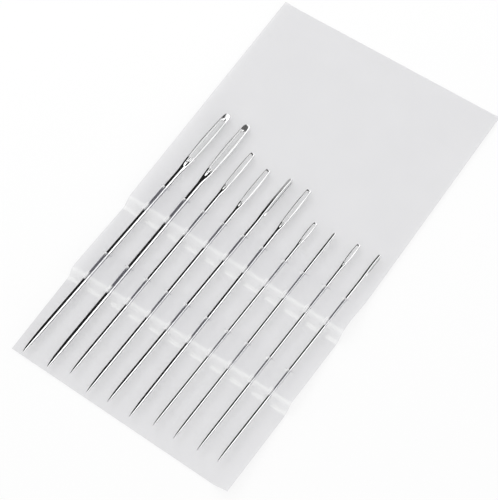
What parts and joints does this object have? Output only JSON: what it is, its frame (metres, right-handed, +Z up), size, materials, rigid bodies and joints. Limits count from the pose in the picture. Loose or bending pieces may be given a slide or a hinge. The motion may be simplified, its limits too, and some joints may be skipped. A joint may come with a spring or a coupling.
{
  "type": "yarn needle set",
  "caption": "Long-eye yarn needles of graded lengths, side by side in a stepped and slit plastic film that passes over and under them; each needle draws out eye first.",
  "frame": {"origin": "on the table under the middle of the film", "axes": "+Y along the needles towards their eyes, +X across the film towards the small needles, +Z up off the table"},
  "size_m": [0.06, 0.1074, 0.0025],
  "materials": {
    "film": "milky translucent soft plastic film, slightly whitened along its creases",
    "needle_steel": "polished nickel-plated steel"
  },
  "bodies": {
    "film_card": {"film_card": "film"},
    "large_needle_1": {"large_needle_1": "needle_steel"},
    "large_needle_2": {"large_needle_2": "needle_steel"},
    "medium_needle_1": {"medium_needle_1": "needle_steel"},
    "medium_needle_2": {"medium_needle_2": "needle_steel"},
    "medium_needle_3": {"medium_needle_3": "needle_steel"},
    "medium_needle_4": {"medium_needle_4": "needle_steel"},
    "small_needle_1": {"small_needle_1": "needle_steel"},
    "small_needle_2": {"small_needle_2": "needle_steel"},
    "small_needle_3": {"small_needle_3": "needle_steel"},
    "small_needle_4": {"small_needle_4": "needle_steel"}
  },
  "joints": [
    {"name": "large_needle_1_draw", "type": "slide", "parent": "film_card", "child": "large_needle_1", "axis": [0.0509, 0.9987, 0], "range_m": [0, 0.051]},
    {"name": "large_needle_2_draw", "type": "slide", "parent": "film_card", "child": "large_needle_2", "axis": [0.0342, 0.9994, 0], "range_m": [0, 0.0508]},
    {"name": "medium_needle_1_draw", "type": "slide", "parent": "film_card", "child": "medium_needle_1", "axis": [0.0375, 0.9993, 0], "range_m": [0, 0.049]},
    {"name": "medium_needle_2_draw", "type": "slide", "parent": "film_card", "child": "medium_needle_2", "axis": [0.0342, 0.9994, 0], "range_m": [0, 0.0506]},
    {"name": "medium_needle_3_draw", "type": "slide", "parent": "film_card", "child": "medium_needle_3", "axis": [0.0434, 0.9991, 0], "range_m": [0, 0.0497]},
    {"name": "medium_needle_4_draw", "type": "slide", "parent": "film_card", "child": "medium_needle_4", "axis": [0.027, 0.9996, 0], "range_m": [0, 0.0497]},
    {"name": "small_needle_1_draw", "type": "slide", "parent": "film_card", "child": "small_needle_1", "axis": [0.037, 0.9993, 0], "range_m": [0, 0.0484]},
    {"name": "small_needle_2_draw", "type": "slide", "parent": "film_card", "child": "small_needle_2", "axis": [0.0314, 0.9995, 0], "range_m": [0, 0.0482]},
    {"name": "small_needle_3_draw", "type": "slide", "parent": "film_card", "child": "small_needle_3", "axis": [0.0352, 0.9994, 0], "range_m": [0, 0.0475]},
    {"name": "small_needle_4_draw", "type": "slide", "parent": "film_card", "child": "small_needle_4", "axis": [0.0394, 0.9992, 0], "range_m": [0, 0.0471]}
  ]
}
